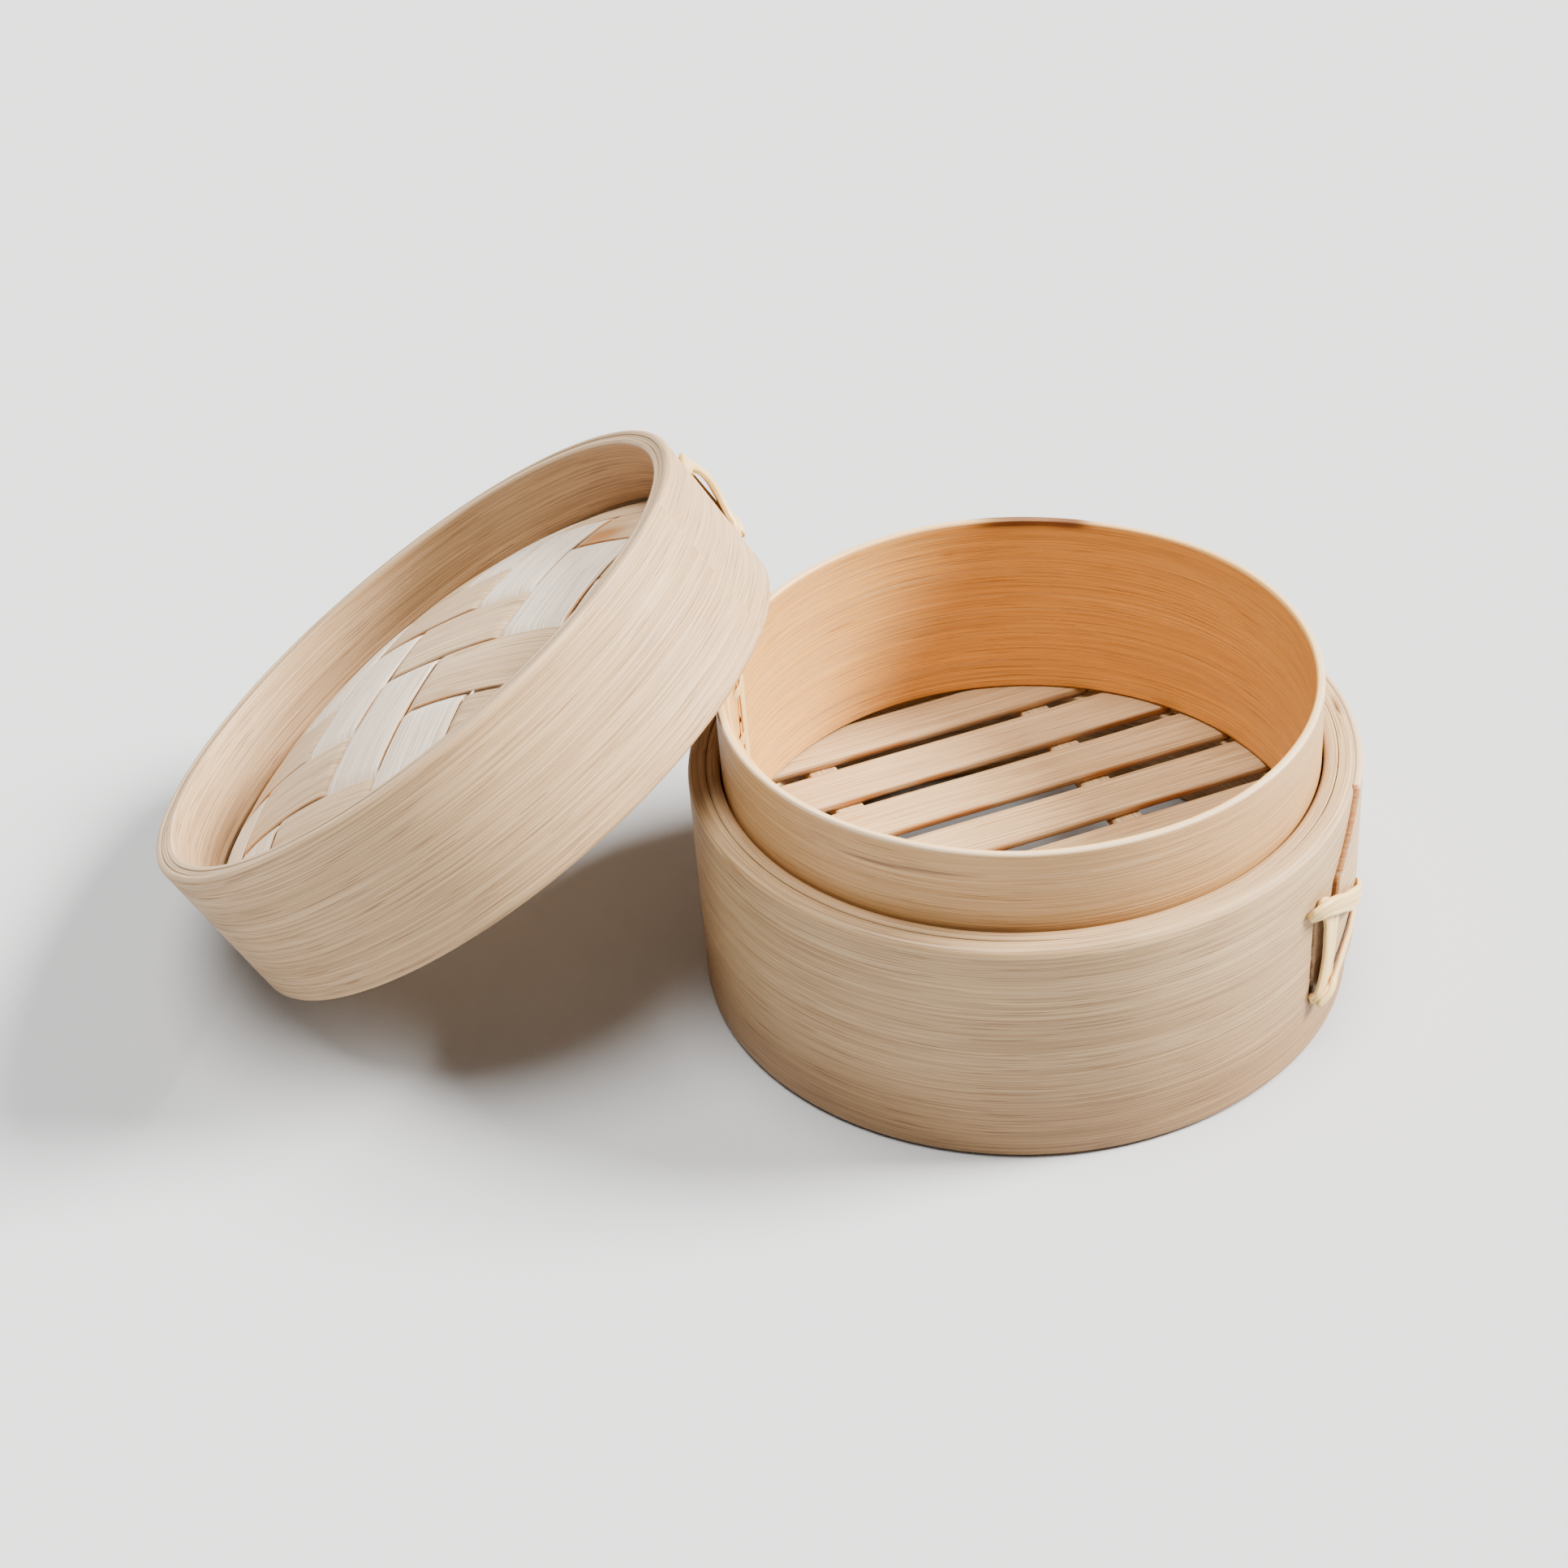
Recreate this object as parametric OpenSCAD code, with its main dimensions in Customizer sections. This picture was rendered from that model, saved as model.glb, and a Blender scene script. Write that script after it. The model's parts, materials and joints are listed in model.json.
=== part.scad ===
// Small round bamboo steamer basket, with its woven lid taken off and leaning against it.
// Millimetres, +Z up. The origin is the centre of the basket's base, on the table.

/* [Basket hoop] */
// Outside diameter of the wound hoop
hoop_d = 100; // [98:0.5:104]
// Height of the wound hoop
hoop_h = 38; // [36:0.5:40]
// Thickness of the outer ply
outer_ply_t = 2.8; // [2.6:0.1:3.2]
// Thickness of the inner ply
inner_ply_t = 2.1; // [1.8:0.1:2.3]
// Rounding of the cut edges
edge_r = 0.7; // [0.3:0.1:0.9]
// How far the outer ply's own end stands proud where it laps over itself
lap_t = 0.9; // [0.6:0.1:1.0]

/* [Collar] */
// Thickness of the collar strip
collar_t = 1.3; // [1.1:0.1:1.5]
// How far the collar stands above the hoop
collar_stand = 13; // [11:0.5:13]
// Gap between the collar and the hoop
collar_gap = 0.3; // [0.2:0.05:0.4]
// Thickness of the collar's own end where it laps inside
collar_lap_t = 0.9; // [0.6:0.1:1.1]

/* [Floor] */
// Height of the hollow under the floor, where another basket's collar goes
recess_h = 14; // [13.5:0.5:15]
// Height of the base ring under the slats
base_ring_h = 3; // [2.6:0.1:3.4]
// Thickness of the crossbars, let into the base ring's top edge
crossbar_t = 2; // [1.5:0.1:2.2]
// Thickness of a floor slat
slat_t = 1.8; // [1.4:0.1:2.2]
// Width of a floor slat
slat_w = 8.4; // [7:0.1:9]
// Distance from slat to slat
slat_pitch = 11; // [10.8:0.1:11.2]
// Width of a crossbar
crossbar_w = 5; // [4:0.5:7]
// Direction the slats run in
slat_turn = 25; // [0:5:90]

/* [Lid hoop] */
// Outside diameter of the lid's hoop
lid_d = 101.6; // [101:0.1:103]
// Height of the lid's hoop
lid_h = 26; // [25:0.5:28]
// Thickness of the lid's outer ply
lid_outer_t = 1.3; // [1.1:0.1:1.4]
// Thickness of the lid's middle ply, and of the rings inside it
lid_inner_t = 1; // [0.8:0.1:1.1]

/* [Woven top] */
// Height of the woven top where it meets the hoop
weave_edge_h = 12.5; // [12:0.1:13]
// How far the woven top bulges up in the middle
weave_rise = 10; // [7:0.5:11]
// Distance from strip to strip
strip_pitch = 12.5; // [12.2:0.1:12.8]
// Gap between neighbouring strips
strip_gap = 0.8; // [0.7:0.1:1.2]
// Thickness of a strip
strip_t = 0.55; // [0.4:0.05:0.6]
// Turn of the weave from the lid's low side
weave_turn = -12; // [-45:1:45]
// Shift of the cross strips from the lid's centre
weft_shift = -4.1; // [-5:0.1:-3]

/* [Leaning lid] */
// Side of the basket that the lid leans on
lean_side = 172; // [165:1:180]
// Tilt of the lid from level
lean_tilt = 33; // [32.8:0.1:33.4]
// Distance from the basket's axis to the lid's lowest point
lean_reach = 123.1; // [123:0.1:125]

/* [Rattan] */
// Thickness of the rattan strip
rattan_t = 0.6; // [0.4:0.05:0.7]

/* [Hidden] */
$fn = 144;

hoop_r = hoop_d / 2;
ply_joint_r = hoop_r - outer_ply_t;
recess_r = ply_joint_r - inner_ply_t;
ring_seat_r = recess_r + 0.6;
collar_r = recess_r - collar_gap;
collar_in_r = collar_r - collar_t;
collar_top = hoop_h + collar_stand;
slat_low = recess_h + base_ring_h;
slat_top = slat_low + slat_t;
slat_reach = recess_r - 0.2;
slat_count = 8;
crossbar_offset = 19;
crossbar_reach = recess_r + 1.2;

lid_r = lid_d / 2;
lid_middle_r = lid_r - lid_outer_t;
weave_r = lid_middle_r - lid_inner_t;
lid_bore_r = weave_r - lid_inner_t;
lid_edge_r = 0.35;
collar_edge_r = 0.35;
corner_fn = 24;
weave_clamp_low = weave_edge_h - 1.1;
weave_clamp_high = weave_edge_h + 1.7;
table_gap = 0.05;

// Each strip runs half the crossing height above or below the dome's middle surface.
crossing = 0.6;
ramp_half = 0.8;
dome_shape = 2.5;
strip_w = strip_pitch - strip_gap;
warp_count = 9;
weft_count = 8;
warp_middle = 5;
weft_middle = 4;
strip_over_run = 1.5;
strip_clear = 0.06;

// Angles are measured from +X. The tie holds the outer ply's end.
tie_turn = -30;
outer_lap_turn = -12;
outer_lap_top = hoop_h - 0.4;
hoop_tie_r = hoop_r + lap_t;
hoop_tie_low = 9;
hoop_tie_h = 18.5;
hoop_tie_depth = 2.6;
lid_tie_turn = 212;
lid_tie_r = lid_r + 0.1;
lid_tie_low = 6;
lid_tie_h = 15;
lid_tie_depth = 1.2;
seam_turn = 172;
collar_lap_turn = seam_turn + 30;
collar_lap_sweep = 105;
collar_lap_top = collar_top - 1.2;
collar_lap_bite = 0.2;
stitch_low = 27;
stitch_pitch = 9;
stitch_h = 2;
stitch_count = 3;
more = 1;

// A bent strip of bamboo: a ring with rounded cut edges.
module bent_strip(r_in, r_out, z_low, z_high, round_r) {
    rotate_extrude()
        rounded_section(r_in, r_out, z_low, z_high, round_r);
}

module rounded_section(x_low, x_high, y_low, y_high, round_r) {
    translate([x_low + round_r, y_low])
        square([x_high - x_low - 2 * round_r, y_high - y_low]);
    translate([x_low, y_low + round_r])
        square([x_high - x_low, y_high - y_low - 2 * round_r]);
    for (x = [x_low + round_r, x_high - round_r], y = [y_low + round_r, y_high - round_r])
        translate([x, y])
            circle(r = round_r, $fn = corner_fn);
}

// A piece of a ring between two angles.
module arc_band(r_in, r_out, turn_from, turn_to, z_low, z_high) {
    rotate([0, 0, turn_from])
        rotate_extrude(angle = turn_to - turn_from)
            translate([r_in, z_low])
                square([r_out - r_in, z_high - z_low]);
}

// An outline in (sideways, up) pushed out through a wall at one angle.
module through_wall(turn, outline) {
    rotate([0, 0, turn])
        rotate([90, 0, 90])
            linear_extrude(2 * hoop_r)
                polygon(outline);
}

// The end of the outer ply, lapped over its own start and cut to a slanting tongue.
module outer_ply_lap() {
    tongue = [[-10.5, 28], [-0.5, outer_lap_top], [60, outer_lap_top], [60, 2], [14, 4], [-13.5, 10]];
    intersection() {
        translate([lap_t * cos(outer_lap_turn), lap_t * sin(outer_lap_turn), 0])
            cylinder(r = hoop_r, h = hoop_h);
        through_wall(tie_turn + 16, tongue);
    }
}

module hoop_outer_ply() {
    color("#cdb596")
        difference() {
            union() {
                bent_strip(ply_joint_r, hoop_r, 0, hoop_h, edge_r);
                outer_ply_lap();
            }
            translate([0, 0, -more])
                cylinder(r = ply_joint_r, h = hoop_h + 2 * more);
            rotate([0, 0, tie_turn])
                tie_root(hoop_tie_r, hoop_tie_low, hoop_tie_h, hoop_tie_depth);
        }
}

module hoop_inner_ply() {
    color("#c4a67e")
        difference() {
            bent_strip(recess_r, ply_joint_r, 0, hoop_h, edge_r);
            translate([0, 0, recess_h])
                cylinder(r = ring_seat_r, h = base_ring_h);
            crossbars();
        }
}

// The inner wall, which stands above the hoop. Its end laps inside and is stitched down.
module collar() {
    color("#c98f4f")
        difference() {
            union() {
                bent_strip(collar_in_r, collar_r, slat_top, collar_top, collar_edge_r);
                collar_lap();
            }
            collar_stitch_shape();
        }
}

module collar_lap() {
    lap_out_r = collar_in_r + collar_lap_bite;
    turn_to = seam_turn + collar_lap_sweep;
    intersection() {
        difference() {
            cylinder(r = lap_out_r, h = collar_lap_top);
            translate([-collar_lap_t * cos(collar_lap_turn), -collar_lap_t * sin(collar_lap_turn), -more])
                cylinder(r = collar_in_r, h = collar_lap_top + 2 * more);
        }
        arc_band(collar_in_r - 3, lap_out_r, seam_turn, turn_to, slat_top, collar_lap_top);
    }
}

module collar_stitch_shape() {
    face_r = collar_in_r - collar_lap_t - 0.1;
    stitch_top = stitch_low + (stitch_count - 1) * stitch_pitch + stitch_h;
    arc_band(face_r - rattan_t, face_r, seam_turn - 3, seam_turn + 2, stitch_low, stitch_top);
    for (z = [stitch_low:stitch_pitch:stitch_top])
        arc_band(face_r - rattan_t, collar_r - 0.3, seam_turn + 1, seam_turn + 4, z, z + stitch_h);
}

module collar_stitch() {
    color("#e6cf98") collar_stitch_shape();
}

// The base ring, slats and crossbars make the open floor.
module base_ring() {
    color("#c9ad84")
        difference() {
            translate([0, 0, recess_h])
                cylinder(r = ring_seat_r, h = base_ring_h);
            translate([0, 0, recess_h - more])
                cylinder(r = collar_in_r, h = base_ring_h + 2 * more);
            crossbars();
        }
}

module crossbars() {
    crossbar(-1);
    crossbar(1);
}

module crossbar(side) {
    color("#c2a277")
        intersection() {
            translate([0, 0, slat_low - crossbar_t])
                cylinder(r = crossbar_reach, h = crossbar_t);
            rotate([0, 0, slat_turn])
                translate([side * crossbar_offset - crossbar_w / 2, -hoop_r, slat_low - crossbar_t])
                    cube([crossbar_w, hoop_d, crossbar_t]);
        }
}

module floor_slat(number) {
    offset_y = (number - (slat_count + 1) / 2) * slat_pitch;
    color("#d2b78d")
        intersection() {
            translate([0, 0, slat_low])
                cylinder(r = slat_reach, h = slat_t);
            rotate([0, 0, slat_turn])
                translate([-hoop_r, offset_y - slat_w / 2, slat_low])
                    cube([hoop_d, slat_w, slat_t]);
        }
}

// The end of a tie's strip that goes into the wall, at the tie's left edge.
module tie_root(wall_r, z_low, height, depth) {
    arc_band(wall_r - depth, wall_r + rattan_t / 2, -3.6, -2, z_low + 2, z_low + height - 3);
}

// Flat rattan tie on a wall of the given radius: a strip, a loop over it and a slanting strip.
module rattan_tie(wall_r, z_low, height, depth) {
    strip_out = wall_r + rattan_t;
    loop_out = strip_out + rattan_t;
    tuck = 0.12;
    tie_root(wall_r, z_low, height, depth);
    arc_band(wall_r, strip_out, -2.5, 3, z_low, z_low + height);
    intersection() {
        arc_band(wall_r + tuck, loop_out, -6, 20, z_low - 1, z_low + height + 5);
        through_wall(8, [[-16, height + z_low - 1.5], [16, height + z_low - 11],
            [16, height + z_low - 7.6], [-16, height + z_low + 1.9]]);
    }
    intersection() {
        arc_band(wall_r + 2 * tuck, strip_out + tuck, -1.5, 19, z_low - 1, z_low + height + 1);
        through_wall(8, [[-12, z_low + 0.4], [12, z_low + 8.4], [12, z_low + 10.6], [-12, z_low + 2.6]]);
    }
}

module hoop_tie() {
    color("#e8d3a0")
        rotate([0, 0, tie_turn])
            rattan_tie(hoop_tie_r, hoop_tie_low, hoop_tie_h, hoop_tie_depth);
}

// Puts a lid piece where the lid lies. The lid's own Z is its axis, from its open side.
module leaning() {
    rotate([0, 0, lean_side])
        translate([lean_reach, 0, table_gap])
            rotate([0, lean_tilt, 0])
                translate([-lid_r, 0, 0])
                    children();
}

module lid_outer_ply() {
    color("#d3bc9c")
        leaning()
            difference() {
                bent_strip(lid_middle_r, lid_r, 0, lid_h, lid_edge_r);
                rotate([0, 0, lid_tie_turn])
                    tie_root(lid_tie_r, lid_tie_low, lid_tie_h, lid_tie_depth);
            }
}

module lid_middle_ply() {
    color("#cbb08a")
        leaning()
            bent_strip(weave_r, lid_middle_r, 0, lid_h, lid_edge_r);
}

module lid_upper_ring() {
    color("#d8bf9b")
        leaning()
            bent_strip(lid_bore_r, weave_r, weave_clamp_high, lid_h, lid_edge_r);
}

module lid_lower_ring() {
    color("#cfb48c")
        leaning()
            bent_strip(lid_bore_r, weave_r, 0, weave_clamp_low, lid_edge_r);
}

module lid_tie() {
    color("#e8d3a0")
        leaning()
            rotate([0, 0, lid_tie_turn])
                rattan_tie(lid_tie_r, lid_tie_low, lid_tie_h, lid_tie_depth);
}

// Woven top. Warp strips run along the weave's Y and weft strips along its X.
function dome_z(x, y) =
    weave_edge_h + weave_rise * (1 - pow(norm([x, y]) / weave_r, dome_shape));

// +1 where the warp strip passes over the weft strip, -1 where it passes under: over two, under two.
function warp_over(warp, weft) = (warp + weft + 2) % 4 < 2 ? 1 : -1;

function warp_x(warp) = (warp - warp_middle) * strip_pitch;
function weft_y(weft) = (weft - weft_middle) * strip_pitch + weft_shift;

// Places along a strip, each with the side of the crossing strip that it passes on.
function along_warp(warp) = [
    for (weft = [0:weft_count + 1], step = [-1, 0, 1])
        [weft_y(weft) + step * (strip_pitch / 2 - ramp_half), warp_over(warp, weft)]
];
function along_weft(weft) = [
    for (warp = [0:warp_count + 1], step = [-1, 0, 1])
        [warp_x(warp) + step * (strip_pitch / 2 - ramp_half), -warp_over(warp, weft)]
];

// The six corners of a strip's section at one place.
function section(middle, place, swap) = [
    for (corner = [[-1, 1], [0, 1], [1, 1], [1, -1], [0, -1], [-1, -1]])
        let (
            across = middle + corner[0] * strip_w / 2,
            x = swap ? place[0] : across,
            y = swap ? across : place[0],
            lift = place[1] * crossing + corner[1] * strip_t / 2
        )
        [x, y, dome_z(x, y) + lift]
];

// How far from the middle a strip runs before all of it is past the wall.
function strip_reach(middle) =
    sqrt(pow(weave_r, 2) - pow(max(0, abs(middle) - strip_w / 2), 2)) + strip_over_run;

// A strip's places, cut off at its reach.
function trimmed(places, reach) =
    let (kept = [for (place = places) if (abs(place[0]) < reach - strip_over_run / 2) place])
    concat([[-reach, kept[0][1]]], kept, [[reach, kept[len(kept) - 1][1]]]);

module woven_strip(middle, all_places, swap) {
    places = trimmed(all_places, strip_reach(middle));
    points = [for (place = places) each section(middle, place, swap)];
    last = len(places) - 1;
    sides = [
        for (ring = [0:last - 1], k = [0:5])
            let (a = ring * 6 + k, b = ring * 6 + (k + 1) % 6)
            each swap ? [[a, a + 6, b + 6], [a, b + 6, b]] : [[a, b, b + 6], [a, b + 6, a + 6]]
    ];
    near_end = [for (half = [[0, 1, 4, 5], [1, 2, 3, 4]]) [for (k = half) swap ? k : 5 - k]];
    far_end = [for (half = [[0, 1, 4, 5], [1, 2, 3, 4]]) [for (k = half) last * 6 + (swap ? 5 - k : k)]];
    intersection() {
        polyhedron(points = points, faces = concat(sides, near_end, far_end), convexity = 6);
        cylinder(r = weave_r - strip_clear, h = lid_h, $fn = 5 * $fn);
    }
}

module lid_warp(warp) {
    color("#e2d6c8")
        leaning()
            rotate([0, 0, weave_turn])
                woven_strip(warp_x(warp), along_warp(warp), false);
}

module lid_weft(weft) {
    color("#cdb08a")
        leaning()
            rotate([0, 0, weave_turn])
                woven_strip(weft_y(weft), along_weft(weft), true);
}

hoop_outer_ply();
hoop_inner_ply();
hoop_tie();
collar();
collar_stitch();
base_ring();
crossbar(-1);  // crossbar_1
crossbar(1);  // crossbar_2
for (k = [1:slat_count])
    floor_slat(k);
lid_outer_ply();
lid_middle_ply();
lid_upper_ring();
lid_lower_ring();
lid_tie();
for (k = [1:warp_count])
    lid_warp(k);
for (k = [1:weft_count])
    lid_weft(k);
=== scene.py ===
"""Looks of the small bamboo steamer basket and its leaning lid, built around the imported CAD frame."""

import json
import math
import random

import bpy
import numpy as np
from mathutils import Matrix, Vector


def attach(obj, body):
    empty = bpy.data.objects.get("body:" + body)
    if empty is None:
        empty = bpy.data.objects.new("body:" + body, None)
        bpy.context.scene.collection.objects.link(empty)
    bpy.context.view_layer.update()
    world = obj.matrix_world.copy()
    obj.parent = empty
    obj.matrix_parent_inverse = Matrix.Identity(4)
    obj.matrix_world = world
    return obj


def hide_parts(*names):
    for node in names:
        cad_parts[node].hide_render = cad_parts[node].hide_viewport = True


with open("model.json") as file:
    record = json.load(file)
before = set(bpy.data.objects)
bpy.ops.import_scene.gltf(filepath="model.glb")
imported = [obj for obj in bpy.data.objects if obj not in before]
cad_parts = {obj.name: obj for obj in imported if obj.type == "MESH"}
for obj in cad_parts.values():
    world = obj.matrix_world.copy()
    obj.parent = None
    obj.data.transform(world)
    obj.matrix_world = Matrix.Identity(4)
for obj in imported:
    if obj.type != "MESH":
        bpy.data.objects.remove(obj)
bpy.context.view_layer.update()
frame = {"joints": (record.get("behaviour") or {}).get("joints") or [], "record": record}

MM = 0.001
RECORD = frame["record"]

# ---------------------------------------------------------------- sizes, in millimetres
# Radii, heights and thicknesses that the pieces share. They follow the CAD nodes.
HOOP_R = 50.0
HOOP_H = 38.0
PLY_JOINT_R = 47.2
RECESS_R = 45.1
COLLAR_R = 44.8
COLLAR_IN_R = 43.5
COLLAR_TOP = 51.0
SLAT_LOW = 17.0
SLAT_TOP = 18.8
BASE_RING_LOW = 14.0
LAP = 0.9
LAP_TURN = -12.0
TONGUE_TURN = -14.0
SLIT_TURN = -33.2
SLIT_LOW = 10.2
SLIT_TOP = 25.0
TIE_TURN = -30.0
SEAM_TURN = 172.0
SLAT_TURN = 25.0
SLAT_PITCH = 11.0
SLAT_COUNT = 8
CROSSBAR_OFFSET = 19.0

# The lid. Its height 0 is the edge that goes down over the collar.
LID_R = 50.8
LID_MIDDLE_R = 49.5
WEAVE_R = 48.5
LID_BORE_R = 47.5
LID_H = 26.0
WEAVE_EDGE_H = 12.5
WEAVE_RISE = 10.0
DOME_SHAPE = 2.5
WEAVE_TURN = -12.0
WEFT_SHIFT = -4.1
STRIP_PITCH = 12.5
STRIP_W = 11.9
STRIP_T = 0.5
CROSSING = 0.45
RAMP_HALF = 1.7
WARP_COUNT = 9
WARP_MIDDLE = 5
WEFT_COUNT = 8
WEFT_MIDDLE = 4
LID_TIE_TURN = -148.0
SOCKET_MIDDLE_H = 5.7

# The ties. Their paths are drawn for a tie of TIE_TALL, and the lid's is a lower copy.
TIE_TALL = 18.5
HOOP_TIE_LOW = 9.0
LID_TIE_LOW = 6.0
LID_TIE_TALL = 15.0
LACING_HEIGHTS = (28.0, 37.0, 46.0)

# Gaps between neighbours and the rounding of a strip's long edges.
HOOP_PLY_GAP = 0.05
LID_PLY_GAP = 0.04
EDGE_ROUND = 0.35

# The floor's strips: how far they reach, how wide and how thick they are.
SLAT_REACH_R = 44.8
SLAT_W = 8.4
SLAT_T = 1.55
BAR_REACH_R = 46.0
BAR_W = 5.0
BAR_T = 1.9

# Damage, by the turn at which it lies.
SPLIT_TURN = 10.0
SPLIT_R = 48.7
CRACK_TURN = -112.0
CRACK_BELOW_RIM = 4.3
SCORCH_TURN = 86.0


# ---------------------------------------------------------------- small maths
def smooth(low, high, value):
    """0 at low, 1 at high, and smooth between."""
    t = np.clip((np.asarray(value, float) - low) / (high - low), 0, 1)
    return t * t * (3 - 2 * t)


def bump(middle, half_width, value):
    """1 at the middle, falling smoothly to 0 at half_width from it."""
    return 1 - smooth(0, half_width, np.abs(np.asarray(value, float) - middle))


def waves(seed, size, lowest=2, count=6):
    """A seeded wavy function of an angle in degrees, whose swing is about size."""
    rng = random.Random(seed)
    terms = [(lowest + k, rng.uniform(0.4, 1) / (k + 1), rng.uniform(0, math.tau)) for k in range(count)]
    total = sum(share for _, share, _ in terms)

    def value(angle):
        turn = np.radians(np.asarray(angle, float))
        return size * sum(share * np.sin(n * turn + phase) for n, share, phase in terms) / total

    return value


def arc(middle_x, middle_y, radius, turn_from, turn_to, count):
    """Points on an arc, as (x, y)."""
    turns = np.radians(np.linspace(turn_from, turn_to, count))
    return [(middle_x + radius * math.cos(t), middle_y + radius * math.sin(t)) for t in turns]


def line(start, end, step):
    """Points from start up to but not including end, about one step apart."""
    count = max(1, int(math.dist(start, end) / step))
    return [tuple(np.array(start) + (np.array(end) - np.array(start)) * k / count) for k in range(count)]


def band_section(r_in, r_out, z_low, z_high, round_in, round_out, step=2.0):
    """The outline of a bent strip's section, as (radius, height), from its foot round its outer face.

    round_in and round_out are the radii of its edges on its inner and on its outer face.
    """
    near, far = r_in + round_in, r_out - round_out
    outline = arc(far, z_low + round_out, round_out, -90, 0, 5)[:-1]
    outline += line((r_out, z_low + round_out), (r_out, z_high - round_out), step)
    outline += arc(far, z_high - round_out, round_out, 0, 90, 6)[:-1]
    outline += line((far, z_high), (near, z_high), 0.4)
    outline += arc(near, z_high - round_in, round_in, 90, 180, 5)[:-1]
    outline += line((r_in, z_high - round_in), (r_in, z_low + round_in), step)
    outline += arc(near, z_low + round_in, round_in, 180, 270, 5)[:-1]
    outline += line((near, z_low), (far, z_low), 0.8)
    return np.array(outline)


# ---------------------------------------------------------------- mesh building
def grid_piece(name, points, along, across, material, place, paint=None, close_u=False, close_v=False):
    """A mesh on a grid of points [u, v, 3] in millimetres.

    along and across are each point's distances on the strip, which the grain follows.
    place is the matrix, in metres, that puts the piece where it belongs.
    paint gives the shares of the painted stains and painted shade, which the finishes read as attributes.
    """
    rows, columns = points.shape[:2]
    faces, corners = [], []
    for i in range(rows if close_u else rows - 1):
        for j in range(columns if close_v else columns - 1):
            ring = [(i, j), (i + 1, j), (i + 1, j + 1), (i, j + 1)]
            faces.append([(a % rows) * columns + b % columns for a, b in ring])
            corners += ring
    mesh = bpy.data.meshes.new(name)
    turn, origin = np.array(place.to_3x3()), np.array(place.translation)
    mesh.from_pydata((points.reshape(-1, 3) * MM @ turn.T + origin).tolist(), [], faces)
    uv = mesh.uv_layers.new(name="strip")
    corners = np.array(corners)
    uv.data.foreach_set("uv", np.stack([along(corners), across(corners)], 1).ravel())
    paint = paint or {}
    for key in ("amber", "char", "pale", "dull"):
        layer = mesh.attributes.new(key, "FLOAT", "POINT")
        values = np.broadcast_to(paint.get(key, 0.0), (rows, columns)).astype(float)
        layer.data.foreach_set("value", values.ravel())
    mesh.polygons.foreach_set("use_smooth", [True] * len(faces))
    mesh.materials.append(material)
    mesh.validate()
    piece = bpy.data.objects.new(name, mesh)
    bpy.context.scene.collection.objects.link(piece)
    return piece


def lengths(values):
    """Distances along a row of points, from its first."""
    steps = np.linalg.norm(np.diff(values, axis=0), axis=1)
    return np.concatenate([[0], np.cumsum(steps)])


def strip_uv(along_u, across_v, seed):
    """Two functions that give a corner's place on the strip, in metres, shifted by the piece's seed."""
    shift = random.Random(seed)
    shift_u, shift_v = shift.uniform(0, 3), shift.uniform(0, 3)
    return (
        lambda c: along_u[c[:, 0]] * MM + shift_u,
        lambda c: across_v[c[:, 1]] * MM + shift_v,
    )


def band(name, section, material, place, seed, wobble=0.08, rim_wave=0.12, carve=None, paint=None,
         fine_at=()):
    """A closed ring of bent bamboo with the given section.

    carve(angle, radius, height) moves points: it returns the changes in radius and in height.
    paint(angle, radius, height) gives the painted stains and painted shade.
    fine_at lists the middles and half widths, in degrees, of the stretches that need a finer mesh.
    """
    angles = set(np.linspace(-180, 180, 241)[:-1])
    for middle, half in fine_at:
        angles |= set(np.linspace(middle - half, middle + half, 41))
    angles = np.array(sorted(angles))
    a, r = np.meshgrid(angles, section[:, 0], indexing="ij")
    z = np.broadcast_to(section[:, 1], a.shape).copy()
    r = r + waves(seed, wobble)(a)
    top = smooth(section[:, 1].max() - 3, section[:, 1].max(), z)
    z = z + top * waves(seed + 1, rim_wave, 3, 9)(a)
    paint_shares = paint(a, r, z) if paint else None
    if carve:
        dr, dz = carve(a, r, z)
        r, z = r + dr, z + dz
    points = np.stack([r * np.cos(np.radians(a)), r * np.sin(np.radians(a)), z], -1)
    mean_r = section[:, 0].mean()
    along_u = np.radians(np.append(angles, angles[0] + 360)) * mean_r
    across_v = lengths(np.vstack([section, section[:1]]))
    along, across = strip_uv(along_u, across_v, seed)
    return grid_piece(name, points, along, across, material, place, paint_shares, True, True)


def shell(name, outer, inner, material, place, seed, paint=None):
    """A thin closed sheet between two grids of points of the same size: a curved strip with its edges."""
    def ring(near, far):
        return np.concatenate([(near + far)[:, :1] / 2, near, (near + far)[:, -1:] / 2, far[:, ::-1]], 1)

    middle = (outer + inner) / 2
    first, last = middle[:1], middle[-1:]
    points = np.concatenate([ring(first, first), ring(outer, inner), ring(last, last)], 0)
    half_way = points[len(points) // 2]
    along_u = lengths(points.mean(axis=1))
    across_v = lengths(np.concatenate([half_way, half_way[:1]]))
    along, across = strip_uv(along_u, across_v, seed)
    paint_shares = None
    if paint is not None:
        paint_shares = {}
        for key, values in paint.items():
            values = ring(values, values)
            paint_shares[key] = np.concatenate([values[:1], values, values[-1:]], 0)
    return grid_piece(name, points, along, across, material, place, paint_shares, False, True)


# ---------------------------------------------------------------- materials
def add(tree, kind, **values):
    """A new shader node with the given settings."""
    node = tree.nodes.new(kind)
    for key, value in values.items():
        setattr(node, key, value)
    return node


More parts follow.
